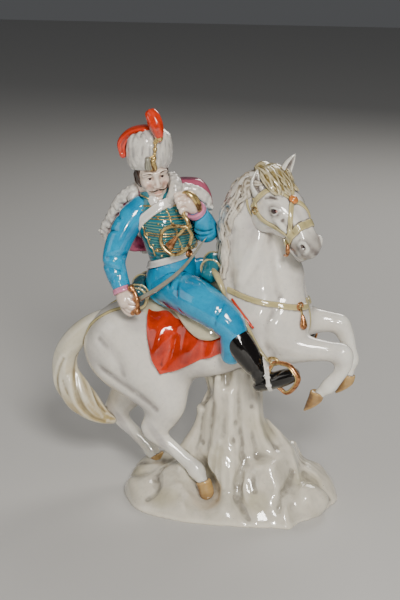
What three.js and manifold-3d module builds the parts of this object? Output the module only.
// A glazed porcelain statuette: a hussar trumpeter on a rearing horse, on a rocky base with a tree stump.
// The whole group is moulded and fired in one piece, so it is one solid. Millimetres, +Z up.
// The origin is the middle of the flat underside, the horse faces +X and its right side faces -Y.
import * as THREE from "three";
import { mergeVertices } from "three/addons/utils/BufferGeometryUtils.js";
import Module from "manifold-3d";

const wasm = await Module();
wasm.setup();

// Driving sizes, in millimetres.
const HEIGHT = 250;
const BASE_LENGTH = 138;
const BASE_WIDTH = 103;
const BASE_RIM = 7;
const STRAP_WIDTH = 3.4;
const STRAP_RISE = 0.9;
const NOSEBAND_WIDTH = 4.8;
const CLOTH_RISE = 2;
const BELT_WIDTH = 4.2;
const SABRE_WIDTH = 2.8;
const SABRE_THICKNESS = 1.5;
const TUBE_WIDTH = 2.6;

// The figure's pose and proportions are shares of its height: one unit is a 250th of it.
const UNIT = HEIGHT / 250;
const GLAZE_WHITE = 0xe4e1da;

const radians = (degrees) => (degrees * Math.PI) / 180;
const vector = (x, y, z) => new THREE.Vector3(x, y, z);
const at = (x, y, z) => vector(x, y, z).multiplyScalar(UNIT);
const mirrored = (stations) => stations.map(([x, y, z, ...rest]) => [x, -y, z, ...rest]);
const smoothMax = (a, b, round) => {
  const h = Math.max(round - Math.abs(a - b), 0) / round;
  return Math.max(a, b) + (h * h * round) / 4;
};

// A closed three.js geometry as a solid.
function solid(geometry) {
  const bare = new THREE.BufferGeometry();
  bare.setAttribute("position", geometry.getAttribute("position"));
  if (geometry.index) bare.setIndex(geometry.index);
  const merged = mergeVertices(bare, 1e-4);
  const triVerts = new Uint32Array(merged.index.array);
  const vertProperties = new Float32Array(merged.attributes.position.array);
  const made = new wasm.Manifold(new wasm.Mesh({ numProp: 3, vertProperties, triVerts }));
  if (made.volume() > 0) return made;
  for (let i = 0; i < triVerts.length; i += 3) {
    [triVerts[i + 1], triVerts[i + 2]] = [triVerts[i + 2], triVerts[i + 1]];
  }
  return new wasm.Manifold(new wasm.Mesh({ numProp: 3, vertProperties, triVerts }));
}

const joined = (...solids) => solids.flat(2).reduce((all, next) => all.add(next));

// A closed skin over rings of equally many points, with a point at each end.
function skin(rings, first, last) {
  const sides = rings[0].length;
  const points = [first, ...rings.flat(), last];
  const index = [];
  const corner = (ring, side) => 1 + ring * sides + (side % sides);
  for (let side = 0; side < sides; side++) {
    index.push(0, corner(0, side + 1), corner(0, side));
    index.push(points.length - 1, corner(rings.length - 1, side), corner(rings.length - 1, side + 1));
    for (let ring = 0; ring + 1 < rings.length; ring++) {
      index.push(corner(ring, side), corner(ring, side + 1), corner(ring + 1, side));
      index.push(corner(ring, side + 1), corner(ring + 1, side + 1), corner(ring + 1, side));
    }
  }
  return new THREE.BufferGeometry().setFromPoints(points).setIndex(index);
}

// A rounded form strung along a smooth line. A station is [x, y, z, across, deep, heading] in figure
// units: its centre, its half-width to the side, its half-depth, and the compass angle that its front
// faces. swell thickens it in millimetres, and carve(angle, share) multiplies the radius to flute or
// fold it. blunt rounds its ends off.
function limb(stations, { sides = 7, steps = 1, swell = 0, blunt = 0, carve = () => 1 } = {}) {
  const spline = (pick) =>
    new THREE.CatmullRomCurve3(stations.map((s) => vector(...pick(s))), false, "catmullrom", 0.5);
  const line = spline(([x, y, z]) => [x * UNIT, y * UNIT, z * UNIT]);
  const sizes = spline(([, , , across, deep, heading = 0]) => [across * UNIT, deep * UNIT, heading]);
  const rings = [];
  const count = (stations.length - 1) * steps;
  const section = (share, shrink, push) => {
    const centre = line.getPoint(share);
    const ahead = line.getTangent(share);
    const { x: across, y: deep, z: heading } = sizes.getPoint(share);
    const turn = radians(heading);
    const side = vector(-Math.sin(turn), Math.cos(turn), 0);
    side.addScaledVector(ahead, -side.dot(ahead)).normalize();
    const front = ahead.clone().cross(side);
    const reach = Math.min(across, deep) + swell;
    centre.addScaledVector(ahead, push * reach * blunt);
    const ring = [];
    for (let k = 0; k < sides; k++) {
      const angle = (2 * Math.PI * k) / sides;
      const scale = shrink * carve(angle, share);
      ring.push(
        centre
          .clone()
          .addScaledVector(side, Math.cos(angle) * (across + swell) * scale)
          .addScaledVector(front, Math.sin(angle) * (deep + swell) * scale),
      );
    }
    return { ring, centre };
  };
  if (blunt > 0) rings.push(section(0, 0.7, -0.7).ring);
  for (let i = 0; i <= count; i++) rings.push(section(i / count, 1, 0).ring);
  if (blunt > 0) rings.push(section(1, 0.7, 0.7).ring);
  return solid(skin(rings, section(0, 0, -1).centre, section(1, 0, 1).centre));
}

// An egg-shaped lump, pitched about Y and turned about Z, in figure units and degrees.
function lump([x, y, z], [long, wide, high], heading = 0, pitch = 0, detail = 8) {
  const ball = new THREE.SphereGeometry(UNIT, detail + 2, detail - 2);
  ball.scale(long, wide, high);
  ball.rotateY(radians(pitch));
  ball.rotateZ(radians(heading));
  ball.translate(x * UNIT, y * UNIT, z * UNIT);
  return solid(ball);
}

// A hoop of round wire: its centre, half-sizes and the direction it faces, in figure units.
function hoop([x, y, z], [wide, high], wire, facing, roll = 0, sides = 14) {
  const ring = new THREE.TorusGeometry(UNIT, (wire / (wide + high)) * 2, 5, sides);
  ring.scale(wide, high, (wide + high) / 2);
  ring.rotateZ(radians(roll));
  const turn = new THREE.Quaternion().setFromUnitVectors(vector(0, 0, 1), vector(...facing).normalize());
  ring.applyQuaternion(turn);
  ring.translate(x * UNIT, y * UNIT, z * UNIT);
  return solid(ring);
}

// A flat slab through a point: everything within half the width of the plane with that normal.
function slab([x, y, z], normal, width, reach = 90) {
  const box = new THREE.BoxGeometry(2 * reach * UNIT, 2 * reach * UNIT, width);
  const turn = new THREE.Quaternion().setFromUnitVectors(vector(0, 0, 1), vector(...normal).normalize());
  box.applyQuaternion(turn);
  box.translate(x * UNIT, y * UNIT, z * UNIT);
  return solid(box);
}

// A prism of a side-view outline of [x, z] points, from y = near to y = far.
function prism(outline, near, far) {
  const shape = new THREE.Shape(outline.map(([x, z]) => new THREE.Vector2(x * UNIT, z * UNIT)));
  const body = new THREE.ExtrudeGeometry(shape, { depth: (far - near) * UNIT, bevelEnabled: false });
  body.rotateX(Math.PI / 2);
  body.translate(0, far * UNIT, 0);
  return solid(body);
}

// The rocky base

const RIDGES = [
  // [start, end, slope, round] of each rock, as [x, y, height]
  [[3, 0, 50], [4, 3, 50], 1.55, 4],
  [[20, 5, 45], [37, 5, 41], 1.25, 3],
  [[40, 5, 34], [68, 8, 23], 0.95, 2],
  [[-20, 4, 26], [-50, 10, 13.5], 0.6, 4],
  [[-54, 4, 13], [-66, 0, 10.5], 0.4, 4],
  [[-32, -11, 21], [-24, -8, 25], 0.75, 4],
  [[12, -16, 27], [24, -40, 11], 0.7, 2],
  [[46, -22, 15], [54, -16, 15], 0.6, 6],
  [[-26, -36, 9.5], [-6, -40, 9.5], 0.3, 6],
  [[-10, 24, 22], [-24, 38, 10], 0.6, 3],
  [[18, 24, 20], [34, 36, 10], 0.6, 3],
];

function footprint(angle) {
  const lobes = 1 + 0.028 * Math.cos(3 * angle + 0.6) + 0.02 * Math.cos(5 * angle - 1.1);
  const fine = 0.008 * Math.cos(11 * angle);
  return vector(0.5 * BASE_LENGTH * Math.cos(angle), 0.5 * BASE_WIDTH * Math.sin(angle), 0).multiplyScalar(
    lobes + fine,
  );
}

function rockHeight(x, y) {
  let height = BASE_RIM;
  for (const [start, end, slope, round] of RIDGES) {
    const a = at(...start);
    const b = at(...end);
    const along = b.clone().sub(a);
    const share = THREE.MathUtils.clamp(
      ((x - a.x) * along.x + (y - a.y) * along.y) / (along.x * along.x + along.y * along.y),
      0,
      1,
    );
    const crest = a.addScaledVector(along, share);
    const away = Math.hypot(x - crest.x, y - crest.y, round * UNIT) - round * UNIT;
    height = smoothMax(height, crest.z - slope * away, 3 * UNIT);
  }
  return height;
}

function rockBase() {
  const sides = 30;
  const shares = [1, 0.98, 0.86, 0.72, 0.57, 0.4];
  const rings = shares.map((share, ring) =>
    Array.from({ length: sides }, (_, k) => {
      const edge = footprint((2 * Math.PI * k) / sides);
      const p = edge.multiplyScalar(share);
      const top = rockHeight(p.x, p.y);
      return vector(p.x, p.y, ring === 0 ? BASE_RIM * 0.35 : top - (ring === 1 ? BASE_RIM * 0.2 : 0));
    }),
  );
  const sole = Array.from({ length: sides }, (_, k) =>
    footprint((2 * Math.PI * k) / sides).multiplyScalar(0.975),
  );
  return solid(skin([sole, ...rings], vector(0, 0, 0), vector(0, 0, rockHeight(0, 0))));
}

const STUMP = [
  [0, 0, 6, 26, 33],
  [1, 0, 20, 22, 30],
  [2.5, 0, 32, 18, 26],
  [3.5, 0, 43, 16, 22.5],
  [3, 0, 53, 15, 20.5],
  [4.2, 0, 60, 14, 19],
  [6.2, 0, 64.5, 13, 16.8],
  [5.5, 0, 73, 13, 18],
  [4, 0, 84, 13, 20],
  [3, 0, 97, 12, 19],
];

function stump() {
  const flute = (angle) => 1 + 0.075 * Math.cos(7 * angle + 0.7) + 0.04 * Math.cos(3 * angle);
  const knot = [
    [-9, -4, 50, 6, 6],
    [-14, -3.5, 59, 4.4, 4.2],
  ];
  const root = [
    [19, -8, 70, 4.5, 4.5],
    [20.5, -9, 58, 4.5, 4.5],
    [24, -10, 42, 6.5, 6.5],
    [33, -12, 30, 6, 6],
  ];
  return joined(
    limb(STUMP, { sides: 14, carve: flute }),
    limb(knot, { sides: 6, blunt: 0.4 }),
    limb(root, { sides: 6 }),
  );
}

// The horse

const TRUNK = [
  [-91, 0, 94, 10, 9],
  [-80, 0, 95.5, 20, 20],
  [-66, 0, 99, 25, 25],
  [-50, 0, 102, 25, 24],
  [-28, 0, 104, 24, 22.5],
  [-5, 0, 108, 24, 24.5],
  [14, 0, 114, 24, 26],
  [29, 0, 119, 22, 25],
  [41, 0, 124, 17, 19],
  [48, 0, 127, 9, 10],
];
const NECK = [
  [20, 0, 118, 21, 25],
  [20.5, 0, 139, 18.5, 28],
  [18, 0, 155, 15.5, 25.5],
  [14.5, -1, 169, 13, 21],
  [11.5, -2.5, 182, 11.5, 17],
  [11.5, -4, 194, 10, 12.5],
  [15.5, -6, 203.5, 9.5, 9.5],
  [21, -7.5, 207.5, 8, 7],
];
const HEAD_ORIGIN = at(23.5, -6, 205);
const HEAD_HEADING = -29;
const HEAD_PITCH = 45;
const HEAD_ROLL = 9;
// [along the face, half-width, forehead above the middle, jaw below it]
const HEAD_SECTIONS = [
  [-2, 8.5, 8, 10],
  [5, 10.5, 10, 15],
  [13, 12.6, 11, 20],
  [20, 12.8, 11, 20.2],
  [27, 10.6, 10.2, 14],
  [34, 8.4, 8.8, 9.6],
  [40.5, 8, 7.2, 10.2],
  [46, 7.8, 5.6, 11.2],
  [49.5, 6, 3.4, 9],
];
const HIND_NEAR = [
  [-46, -12, 80, 14, 20],
  [-37.5, -15, 67, 11, 14.5],
  [-37.5, -15.5, 58, 8.4, 10.8],
  [-41.5, -16, 50.5, 6.6, 8.6],
  [-44.5, -16.3, 44.5, 5.4, 7.2],
  [-40, -17, 40.5, 4.8, 5.4],
  [-33.5, -17.6, 36.3, 4.2, 4.8],
  [-22, -19.6, 28, 4.2, 4.7],
  [-15, -21, 22.5, 4.6, 5],
];
const HIND_FAR = [
  [-58, 11, 84, 14, 20],
  [-61, 13, 72, 11.5, 15],
  [-67.5, 14, 59, 9, 11.5],
  [-73, 14, 50.5, 6.8, 8.8],
  [-77, 14, 43.5, 5.6, 7.4],
  [-73, 13.6, 37, 4.8, 5.4],
  [-65, 13, 30, 4.2, 4.8],
  [-57, 12, 23, 4.2, 4.8],
  [-52.5, 11.6, 18.5, 4.4, 4.8],
];
const HAUNCH_NEAR = [-56, -9, 88];
const HAUNCH_SIZE = [36, 17, 25];
const FORE_NEAR = [
  [22, -11, 122, 11, 20],
  [28, -13.5, 111, 10.5, 15],
  [39, -15, 107.5, 9, 11],
  [52, -15.5, 107, 6.8, 8],
  [64, -15.5, 106.6, 5.4, 6.4],
  [72.5, -15.5, 105.6, 5.2, 6.2],
  [74.5, -15.5, 98.5, 4.4, 5],
  [71.5, -15.5, 91, 3.8, 4.2],
  [66, -15.5, 84, 4.2, 4.8],
  [61, -15.5, 79, 4, 4.5],
];
const FORE_FAR = [
  [24, 10, 121, 11, 19],
  [34, 12, 115.5, 10, 13],
  [46, 13.5, 115, 8, 9.2],
  [58, 14.2, 115.3, 6, 7.2],
  [67.5, 14.5, 113.8, 5.4, 6.2],
  [72, 14.5, 107, 4.8, 5.6],
  [75, 14.5, 98.5, 3.8, 4.3],
  [76.5, 14.5, 91.5, 4.2, 4.8],
  [74.5, 14.5, 85, 4, 4.5],
];
const HOOVES = [
  [[-13, -22, 18.5, 4.4, 4.9], [-10, -23, 13.5, 5, 5.8], [-8, -23.6, 8.5, 5.6, 6.6]],
  [[-51, 11.3, 17, 4.4, 4.9], [-48.5, 10.6, 13.5, 5, 5.8], [-45.5, 10, 10, 5.4, 6.2]],
  [[62, -15.5, 80, 4, 4.4], [55.5, -15.5, 73.5, 5.2, 6], [50.5, -15.5, 68.5, 5, 5.6]],
  [[74.8, 14.5, 86.5, 4, 4.4], [72.3, 14.5, 78.5, 5.2, 6], [70, 14.5, 72.5, 5, 5.6]],
];
const TAIL = [
  [-86, 0, 103.5, 4.5, 5],
  [-93, 0, 100.5, 6, 6],
  [-101, 0, 95.5, 7.2, 7],
  [-106.8, 0, 86, 8, 8.2],
  [-106.3, 0, 76.5, 9, 9.3],
  [-103, 0, 67, 9.6, 10.2],
  [-97.5, 1, 57.5, 9.2, 9.5],
  [-92, 3, 48.5, 7.8, 8.2],
  [-86, 6, 41.2, 5.6, 6.2],
  [-79.5, 9.5, 37, 2.8, 3.4],
];

// A point of the horse's head: along the face from the poll, to its left, and out of the forehead.
const headFrame = (() => {
  const heading = radians(HEAD_HEADING);
  const pitch = radians(HEAD_PITCH);
  const forward = vector(
    Math.cos(heading) * Math.cos(pitch),
    Math.sin(heading) * Math.cos(pitch),
    -Math.sin(pitch),
  );
  const level = vector(-Math.sin(heading), Math.cos(heading), 0);
  const left = level.clone().applyAxisAngle(forward, radians(-HEAD_ROLL));
  if (left.z < 0) left.copy(level).applyAxisAngle(forward, radians(HEAD_ROLL));
  return { forward, left, out: forward.clone().cross(left) };
})();
function onHead(along, left, out) {
  return HEAD_ORIGIN.clone()
    .addScaledVector(headFrame.forward, along * UNIT)
    .addScaledVector(headFrame.left, left * UNIT)
    .addScaledVector(headFrame.out, out * UNIT);
}

function headForm(swell = 0) {
  const sides = 10;
  const rings = HEAD_SECTIONS.map(([along, wide, forehead, jaw]) =>
    Array.from({ length: sides }, (_, k) => {
      const angle = (2 * Math.PI * k) / sides;
      const round = 1 / (Math.abs(Math.cos(angle)) ** 2.5 + Math.abs(Math.sin(angle)) ** 2.5) ** 0.4;
      const up = Math.sin(angle) * round;
      const left = Math.cos(angle) * round * (1 - 0.18 * Math.max(0, -up));
      return onHead(along, left * (wide + swell / UNIT), up * ((up > 0 ? forehead : jaw) + swell / UNIT));
    }),
  );
  const [firstAlong] = HEAD_SECTIONS[0];
  const [lastAlong] = HEAD_SECTIONS.at(-1);
  return solid(skin(rings, onHead(firstAlong - 4, 0, 0), onHead(lastAlong + 3, 0, 0)));
}

// A small spike or lobe on the head, from root to tip, in head coordinates.
function onHeadLimb(points, options) {
  return limb(
    points.map(([along, left, out, across, deep]) => {
      const p = onHead(along, left, out).divideScalar(UNIT);
      return [p.x, p.y, p.z, across, deep, HEAD_HEADING];
    }),
    options,
  );
}

function horseHead() {
  const ears = [
    [[5, -8, -2, 3.4, 2.6], [-0.5, -10.2, 3, 3.9, 2.4], [-6.4, -8.6, 8.6, 0.8, 0.7]],
    [[3, 7, 5, 3.6, 2.6], [-0.5, 9, 12, 4, 2.4], [-3, 12, 21, 0.8, 0.7]],
  ].map((points) => onHeadLimb(points, { sides: 5, steps: 2 }));
  const eye = (side) => {
    const points = [
      [16, side * 11, 6.5, 2.6, 2.6],
      [23, side * 10, 6.2, 2, 2],
    ];
    return onHeadLimb(points, { sides: 5 });
  };
  const lip = onHeadLimb([
    [36, 0, -5.4, 4.4, 3],
    [46, 0, -6, 4.8, 3],
  ]);
  return joined(headForm(), ears, eye(-1), eye(1), lip);
}

// The mane lies along the crest of the neck as one mass of overlapping locks, with a forelock over the brow.
const CREST = [
  [26, -7, 203.5, 7, 4.5],
  [18, -7, 206, 10, 6],
  [10, -5.5, 199.5, 12, 7.5],
  [4.5, -4, 189, 12.5, 8],
  [0.5, -2.5, 176, 13.5, 7],
  [-1.5, -1, 162, 14.5, 5.5],
  [-3.5, 0, 148, 14.5, 4.5],
  [-4, 0, 137, 12, 3.5],
];

function mane() {
  const locks = (angle, share) =>
    1 + 0.11 * Math.sin(48 * share + 5 * Math.cos(angle)) * Math.abs(Math.cos(angle));
  const forelock = [-3.2, 2.6].map((left, i) =>
    onHeadLimb(
      [
        [-3, left * 0.6, 8.5, 4.2, 3.2],
        [5, left, 10.8, 4, 2.4],
        [13 + 2 * i, left * 1.3, 11.4, 1.4, 1],
      ],
      { sides: 6, blunt: 0.3 },
    ),
  );
  return joined(limb(CREST, { sides: 7, steps: 2, carve: locks }), forelock);
}

function tail() {
  const strands = (angle, share) => 1 + (0.05 + 0.07 * share) * Math.cos(4 * angle + 7 * share);
  return limb(TAIL, { sides: 10, carve: strands, blunt: 0.5 });
}

const trunk = (swell = 0) => limb(TRUNK, { sides: 12, swell, blunt: 0.7 });
const neck = (swell = 0) => limb(NECK, { sides: 10, swell });
const haunches = (swell = 0) =>
  [HAUNCH_NEAR, ...mirrored([HAUNCH_NEAR])].map((centre) =>
    lump(centre, HAUNCH_SIZE.map((size) => size + swell / UNIT), 0, 0, 8),
  );
const shoulders = (swell = 0) =>
  [FORE_NEAR, FORE_FAR].map((leg) => limb(leg.slice(0, 3), { swell }));

function horse() {
  const legs = [HIND_NEAR, HIND_FAR, FORE_NEAR, FORE_FAR].map((leg) => limb(leg));
  const hooves = HOOVES.map((hoof) => limb(hoof));
  return joined(trunk(), haunches(), neck(), legs, hooves, tail(), mane(), horseHead());
}

// Saddle, saddlecloth and straps

// Side-view outlines of the saddlecloth and the saddle flap, as [x, z].
const CLOTH_OUTLINE = [
  [-51, 132],
  [-48, 114],
  [-44.5, 102],
  [-38, 88],
  [-30, 89.5],
  [-18, 94.5],
  [2, 104.5],
  [18, 119],
  [8, 134],
  [-2, 146],
];
const SADDLE_OUTLINE = [
  [-52, 142],
  [-47, 131],
  [-36, 129.5],
  [-26, 125],
  [-18.5, 117],
  [-9, 113.5],
  [2, 118],
  [4, 130],
  [-1, 142],
  [-6, 152],
  [-30, 150],
];

function saddlery() {
  const folds = (angle, share) => 1 + 0.018 * Math.sin(46 * share) * Math.abs(Math.cos(angle));
  const back = limb(TRUNK, { sides: 12, swell: CLOTH_RISE, carve: folds, blunt: 0.7 });
  const cloth = joined(back, haunches(CLOTH_RISE)).intersect(prism(CLOTH_OUTLINE, -40, 40));
  const seat = limb(
    [
      [-52, 0, 118, 18, 16],
      [-44, 0, 116, 19, 16],
      [-28, 0, 115.5, 20, 14],
      [-12, 0, 118, 19, 17],
      [-4, 0, 122, 15, 17],
    ],
    { sides: 8 },
  );
  const flaps = trunk(2.6 * UNIT).intersect(prism(SADDLE_OUTLINE, -40, 40));
  const roll = (x, half, ends, crown, girth, options) =>
    limb(
      [
        [x, -half, ends, girth, girth, 90],
        [x, 0, crown, girth + 0.3, girth + 0.3, 90],
        [x, half, ends, girth, girth, 90],
      ],
      options,
    );
  const valise = roll(-54, 17, 133, 136, 6.2, { sides: 9, blunt: 0.35 });
  const cloak = roll(-9.3, 13, 149, 154, 5.2, { blunt: 0.5 });
  return joined(cloth, seat, flaps, valise, cloak);
}

function straps() {
  const chest = joined(trunk(STRAP_RISE), neck(STRAP_RISE), shoulders(STRAP_RISE));
  const breast = chest
    .intersect(slab([24, 0, 136.5], [0.2, 0, 1], STRAP_WIDTH))
    .intersect(prism([[0, 100], [70, 100], [70, 170], [0, 170]], -40, 40));
  const crupper = trunk(STRAP_RISE)
    .intersect(slab([-70, 0, 120], [0, 1, 0], STRAP_WIDTH))
    .intersect(prism([[-100, 100], [-55, 100], [-55, 135], [-100, 135]], -10, 10));
  const drop = limb(
    [
      [50.5, -2, 131, 1.4, 1.4],
      [48.5, -8, 127, 1.6, 1.6],
      [47, -9.5, 122.5, 2.6, 2.4],
    ],
    { sides: 5 },
  );
  return joined(breast, crupper, drop, bridle());
}

// The noseband is a slice of the head raised above its surface; the rosette sits between the eyes.
function bridle() {
  const middle = onHead(36, 0, 0).divideScalar(UNIT).toArray();
  const across = slab(middle, headFrame.forward.toArray(), NOSEBAND_WIDTH, 40);
  const rosette = lump(onHead(19, 0, 11).divideScalar(UNIT).toArray(), [2.9, 2.9, 2.9], 0, 0, 7);
  return joined(headForm(STRAP_RISE).intersect(across), rosette);
}

// The rider

const TORSO = [
  [-38, 0, 126, 15.5, 12, -12],
  [-38, 0, 137, 16.5, 13.5, -20],
  [-35.5, -0.5, 147, 16, 13.5, -30],
  [-34.8, -1.5, 155, 14.6, 12.4, -38],
  [-35.5, -2.5, 165, 16, 12.6, -48],
  [-37.5, -3.5, 176, 17.5, 12.8, -58],
  [-41, -4, 186, 17, 10.5, -62],
  [-44, -4.5, 192.5, 9.5, 8.5, -62],
  [-45, -5, 198, 6, 6, -62],
];
const RIGHT_ARM = [
  [-53, -8, 187.5, 7.5, 7.5],
  [-58, -12, 181, 8.4, 8.4],
  [-64, -17, 169, 7.9, 7.9],
  [-66.8, -20, 157, 7.4, 7.2],
  [-64.5, -22, 148, 6.6, 6.4],
  [-61, -24.2, 140.5, 5.4, 5.2],
  [-59.8, -25, 136.5, 4.4, 4.4],
];
const LEFT_ARM = [
  [-27, 3, 188, 7.5, 7.5],
  [-20.5, 4, 180, 8.4, 8.4],
  [-14.5, 1, 173.5, 8, 8],
  [-15.2, -5, 180, 6.8, 6.8],
  [-17.2, -9.5, 186.5, 5.6, 5.6],
  [-20, -12.2, 190.5, 4.6, 4.6],
];
const RIGHT_THIGH = [
  [-37, -8, 138, 11, 11.5],
  [-24, -17, 138, 12, 12.5],
  [-12.5, -24, 135.5, 11.5, 12.2],
  [-2, -28.5, 131, 10.2, 11],
  [7, -31, 124, 9.2, 9.5],
  [9.5, -31.5, 115, 8.2, 8.6],
  [7.5, -29.5, 105, 6, 6.6],
];
const RIGHT_BOOT = [
  [9, -32, 120, 7.6, 8],
  [15.5, -33.5, 111.5, 8, 8.4],
  [21.5, -34, 103, 6.8, 7],
  [26.8, -34, 95.5, 5.6, 5.8],
  [29, -34.2, 91.8, 5.2, 5],
];
const RIGHT_FOOT = [
  [26.5, -33.6, 90.5, 4.6, 4],
  [33, -35.4, 93, 4.6, 4],
  [41, -37.2, 97.4, 4.8, 3.8],
  [48, -38.8, 101.2, 3.6, 2.8],
];
const HEAD_CENTRE = [-46, -6, 205.5];
const FACE_HEADING = -60;
const HAT_FOOT = [-47.4, -6, 209.5];
const HAT_LEAN = [-0.06, 0.06, 1];

// A point round the rider's head: out of the face, to its left, and up.
function onFace(out, left, rise) {
  const turn = radians(FACE_HEADING);
  return [
    HEAD_CENTRE[0] + out * Math.cos(turn) - left * Math.sin(turn),
    HEAD_CENTRE[1] + out * Math.sin(turn) + left * Math.cos(turn),
    HEAD_CENTRE[2] + rise,
  ];
}

function riderHead() {
  const skull = lump(HEAD_CENTRE, [10.4, 9.4, 12.2], FACE_HEADING, 0, 7);
  const jaw = lump(onFace(1.8, 0, -6.2), [7.6, 6.4, 5.6], FACE_HEADING, 0, 6);
  const lean = vector(...HAT_LEAN).normalize();
  const profile = [
    [0, -1.5],
    [11.8, -1.5],
    [13.8, 3.5],
    [15, 11],
    [14.6, 18],
    [12, 23],
    [7, 24.8],
    [0, 25],
  ];
  const busby = new THREE.LatheGeometry(
    profile.map(([r, z]) => new THREE.Vector2(r * UNIT, z * UNIT)),
    10,
  );
  busby.rotateX(Math.PI / 2);
  busby.applyQuaternion(new THREE.Quaternion().setFromUnitVectors(vector(0, 0, 1), lean));
  busby.translate(...at(...HAT_FOOT).toArray());
  const bag = limb(
    [
      [-38, -5, 233, 5, 3],
      [-49, -7, 235, 6, 3.6],
      [-58.5, -9, 232.5, 5, 3.4],
      [-63.2, -11, 226.5, 4, 3.2],
      [-61.8, -12.5, 219.5, 2, 2],
    ],
    { sides: 6, blunt: 0.7 },
  );
  const plume = limb(
    [
      [-40.5, -15.5, 224, 2.4, 2.4],
      [-38.3, -18, 229.5, 2.6, 2.6],
      [-38.8, -18.6, 235.8, 3.9, 3.9],
      [-40.8, -17.4, 242.4, 4.4, 4.4],
      [-43, -15.8, 246.6, 3.8, 3.6],
    ],
    { sides: 7, blunt: 0.9 },
  );
  return joined(skull, jaw, solid(busby), bag, plume);
}

function fist([x, y, z], heading, tilt) {
  const turn = radians(heading);
  const knuckles = [x + 3 * Math.cos(turn), y + 3 * Math.sin(turn), z];
  const palm = lump([x, y, z], [5.2, 5.4, 6.6], heading, tilt, 6);
  const fingers = lump(knuckles, [3.4, 4.8, 5.4], heading, tilt, 6);
  return joined(palm, fingers);
}

function coat() {
  const arms = [limb(RIGHT_ARM), limb(LEFT_ARM)];
  const torso = (swell) => limb(TORSO, { sides: 10, swell });
  const belt = torso(STRAP_RISE).intersect(slab([-34.8, -1.5, 155.5], [-0.33, 0.12, 1], BELT_WIDTH, 24));
  const crossbelt = torso(1.3 * STRAP_RISE)
    .intersect(slab([-45, -4, 178.5], [-0.62, 0.42, 0.66], 1.25 * BELT_WIDTH, 40))
    .intersect(prism([[-75, 156], [0, 156], [0, 200], [-75, 200]], -30, 30));
  const collar = limb([[-44.3, -4.6, 191.5, 8, 8, -62], [-45, -5, 196.5, 7.4, 7.6, -62]], { blunt: 0.1 });
  return joined(torso(0), arms, belt, crossbelt, collar);
}

// The fur-edged jacket slung behind the shoulders.
function pelisse() {
  const cloth = limb(
    [
      [-40, 4, 196, 17, 6, -62],
      [-45, 7, 184, 23, 7.5, -60],
      [-49, 8.5, 170, 27, 7.5, -58],
      [-53, 8.5, 157, 29, 6, -56],
    ],
    { sides: 10, blunt: 0.4, carve: (angle, share) => 1 + 0.05 * share * Math.cos(5 * angle) },
  );
  const fur = (points, seed) => {
    const tufts = (angle, share) =>
      1 + 0.1 * Math.sin(31 * share + seed) + 0.06 * Math.cos(3 * angle + 17 * share);
    return limb(points, { sides: 6, blunt: 0.7, carve: tufts });
  };
  const collar = [
    [-36, -9, 192, 3.6, 3.6],
    [-31.5, -6, 201, 4.6, 4.6],
    [-36, 1, 205.5, 4.6, 4.4],
    [-46, 6, 203, 4.4, 4.4],
    [-56, -1, 198.5, 4.6, 4.4],
    [-58, -7, 193, 3.8, 3.6],
  ];
  const hem = [
    [-57, -3, 198, 4, 4],
    [-66, -4.5, 192, 3.6, 3.6],
    [-72.5, -3, 181, 3.2, 3.2],
    [-77, 0, 168, 3.4, 3.4],
    [-81, 1.5, 160, 3.4, 3.2],
    [-75, 3, 153, 3.4, 3.2],
    [-60, 12, 150.5, 3.4, 3.2],
    [-44, 17, 152, 3.4, 3.2],
    [-33, 20, 156, 3.4, 3.2],
  ];
  const farEdge = [
    [-29, -3, 201, 4, 3.8],
    [-23.5, 3, 201, 4, 3.6],
    [-18.5, 7, 196, 3.8, 3.6],
    [-17.5, 10, 186, 3.2, 3.2],
    [-23, 15, 171, 3.2, 3.2],
    [-32, 20, 157, 3.2, 3.2],
  ];
  return joined(cloth, fur(collar, 0), fur(hem, 2), fur(farEdge, 5));
}

function legs() {
  const farThigh = mirrored(RIGHT_THIGH);
  const shank = (boot, foot) => joined(limb(boot), limb(foot, { blunt: 0.7 }));
  return joined(
    limb(RIGHT_THIGH),
    limb(farThigh),
    shank(RIGHT_BOOT, RIGHT_FOOT),
    shank(mirrored(RIGHT_BOOT), mirrored(RIGHT_FOOT)),
  );
}

function stirrup(side) {
  const y = (value) => side * value;
  const iron = hoop([41.5, y(37.2), 98.6], [9, 6.4], 1.5, [0.62, y(0.72), 0.1], 55, 10);
  const leather = limb(
    [
      [8, y(24.5), 130, 1.2, 2.6],
      [15, y(29.5), 121, 1.2, 2.6],
      [25, y(33.5), 113, 1.2, 2.4],
      [34, y(36), 106, 1.4, 2],
    ],
    { sides: 6 },
  );
  return joined(iron, leather);
}

// A curved blade of diamond section, tapering to its point.
function sabreBlade() {
  const line = new THREE.CatmullRomCurve3([
    at(-49, -28.5, 136),
    at(-36, -29.5, 145),
    at(-22, -29, 157.5),
    at(-9, -24, 175.5),
  ]);
  const steps = 6;
  const rings = Array.from({ length: steps + 1 }, (_, i) => {
    const share = i / steps;
    const ahead = line.getTangent(share);
    const flat = vector(0, -1, 0.2);
    flat.addScaledVector(ahead, -flat.dot(ahead)).normalize();
    const edge = ahead.clone().cross(flat);
    const taper = 1 - 0.8 * share ** 3;
    return [0, 1, 2, 3].map((quarter) => {
      const angle = (quarter * Math.PI) / 2;
      return line
        .getPoint(share)
        .addScaledVector(edge, (Math.cos(angle) * SABRE_WIDTH * taper) / 2)
        .addScaledVector(flat, (Math.sin(angle) * SABRE_THICKNESS * taper) / 2);
    });
  });
  return solid(skin(rings, line.getPoint(0), line.getPoint(1)));
}

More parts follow.
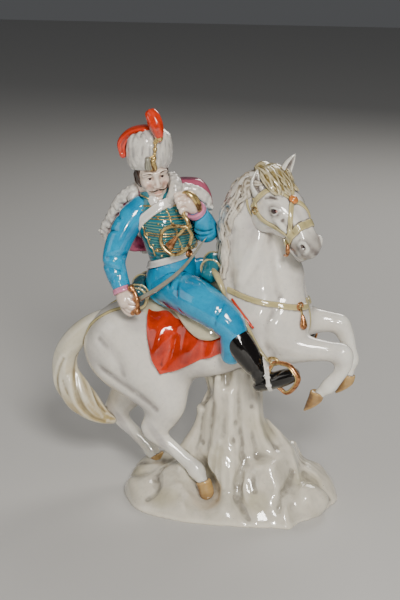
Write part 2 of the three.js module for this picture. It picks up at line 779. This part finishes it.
function sabre() {
  const guard = limb(
    [
      [-55.5, -26.5, 142, 2.2, 2.2],
      [-51.5, -28, 139, 2, 2],
      [-50, -28.8, 133, 1.9, 1.9],
      [-51.5, -27.6, 128, 2.2, 2.2],
    ],
    { sides: 6, blunt: 0.7 },
  );
  const handle = limb(
    [
      [-53, -27.5, 135.5, 2, 2],
      [-55, -26, 130, 2, 2],
    ],
    { sides: 6 },
  );
  return joined(sabreBlade(), guard, handle, fist([-58.8, -25.5, 134], 40, 15));
}

// A trumpet coiled into one loop, with its bell turned inside it and its mouthpipe over the hand.
function trumpet() {
  const loop = hoop([-30.2, -14.2, 171.2], [10, 9], TUBE_WIDTH / 2, [0.5, -0.86, 0.12], 0, 14);
  const stem = [
    [-24.5, -16.5, 190, 1.3, 1.3],
    [-22.5, -16, 182, 1.3, 1.3],
    [-20.4, -13.4, 174, 1.3, 1.3],
  ];
  const mouthpipe = [
    [-24.5, -15.5, 200.5, 1.2, 1.2],
    [-18.5, -15.5, 198.5, 1.6, 1.6],
    [-15.2, -13, 190, 2, 2],
  ];
  const bell = [
    [-26.5, -14.6, 174.2, 2.6, 2.2],
    [-29.5, -15, 167.7, 3, 2.6],
    [-33.5, -15, 165.7, 1.8, 1.8],
  ];
  const tubes = [limb(stem, { sides: 6 }), limb(mouthpipe, { sides: 6, steps: 2 }), limb(bell, { sides: 6 })];
  return joined(loop, tubes, fist([-22.6, -14.5, 193], -150, -20));
}

const group = new THREE.Group();

function addPiece(name, body, colour) {
  const mesh = body.getMesh();
  const geometry = new THREE.BufferGeometry();
  geometry.setAttribute("position", new THREE.BufferAttribute(new Float32Array(mesh.vertProperties), 3));
  geometry.setIndex(new THREE.BufferAttribute(new Uint32Array(mesh.triVerts), 1));
  const material = new THREE.MeshStandardMaterial({ color: colour, roughness: 0.18, metalness: 0 });
  const piece = new THREE.Mesh(geometry, material);
  piece.name = name;
  group.add(piece);
}

const ground = joined(rockBase(), stump());
const mount = joined(horse(), saddlery(), straps(), stirrup(-1), stirrup(1));
const rider = joined(riderHead(), coat(), pelisse(), legs(), sabre(), trumpet());
addPiece("statuette", joined(ground, mount, rider), GLAZE_WHITE);

export default group;
